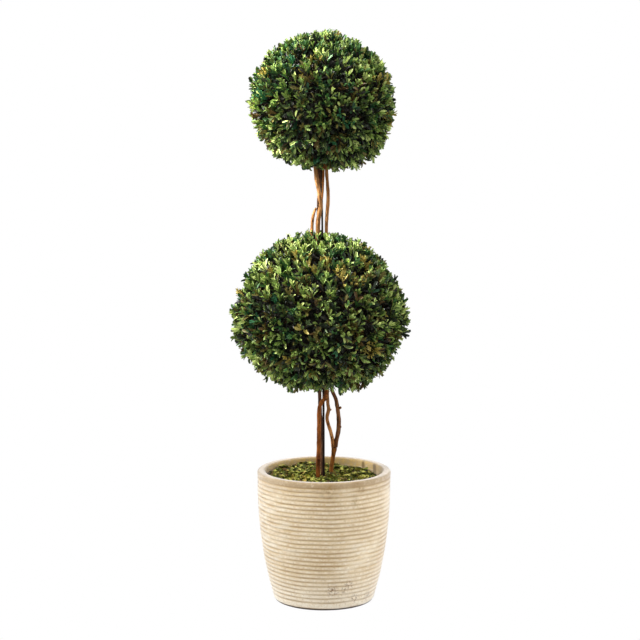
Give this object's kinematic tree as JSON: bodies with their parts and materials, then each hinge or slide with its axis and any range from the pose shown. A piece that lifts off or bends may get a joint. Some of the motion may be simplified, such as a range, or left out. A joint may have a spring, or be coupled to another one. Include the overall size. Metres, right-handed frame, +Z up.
{
  "type": "potted double ball boxwood topiary",
  "caption": "Preserved boxwood topiary with a large and a smaller clipped ball on bare twisting stems round a dark rod, in a ribbed stone-coloured pot filled with moss.",
  "frame": {"origin": "centre of the pot's flat underside", "axes": "+Z up along the pot's axis and the rod, -Y towards the viewer of the picture, +X to the viewer's right"},
  "size_m": [0.3802, 0.3828, 1.2176],
  "materials": {
    "pot_stone": "matt cream and tan fired clay, worn paler on the ribs and darker in the grooves",
    "potting_fill": "matt dark set filling",
    "moss_litter": "matt yellow-green dried moss and loose leaves",
    "black_rod": "black satin coat",
    "pale_bark": "orange-brown dried bark",
    "dark_bark": "dark brown dried bark",
    "brown_bark": "reddish brown dried bark",
    "boxwood_leaf": "satin preserved leaves in mixed greens"
  },
  "bodies": {
    "root": {"planter": "pot_stone", "potting_fill": "potting_fill", "moss_layer": "moss_litter", "support_rod": "black_rod", "left_stem": "pale_bark", "back_stem": "dark_bark", "fork_stem": "brown_bark", "fork_left_limb": "brown_bark", "fork_right_limb": "brown_bark", "lower_foliage_ball": "boxwood_leaf", "curved_upper_stem": "pale_bark", "back_upper_stem": "dark_bark", "right_upper_stem": "brown_bark", "thin_upper_shoot": "brown_bark", "side_shoot": "dark_bark", "upper_foliage_ball": "boxwood_leaf"}
  },
  "joints": []
}
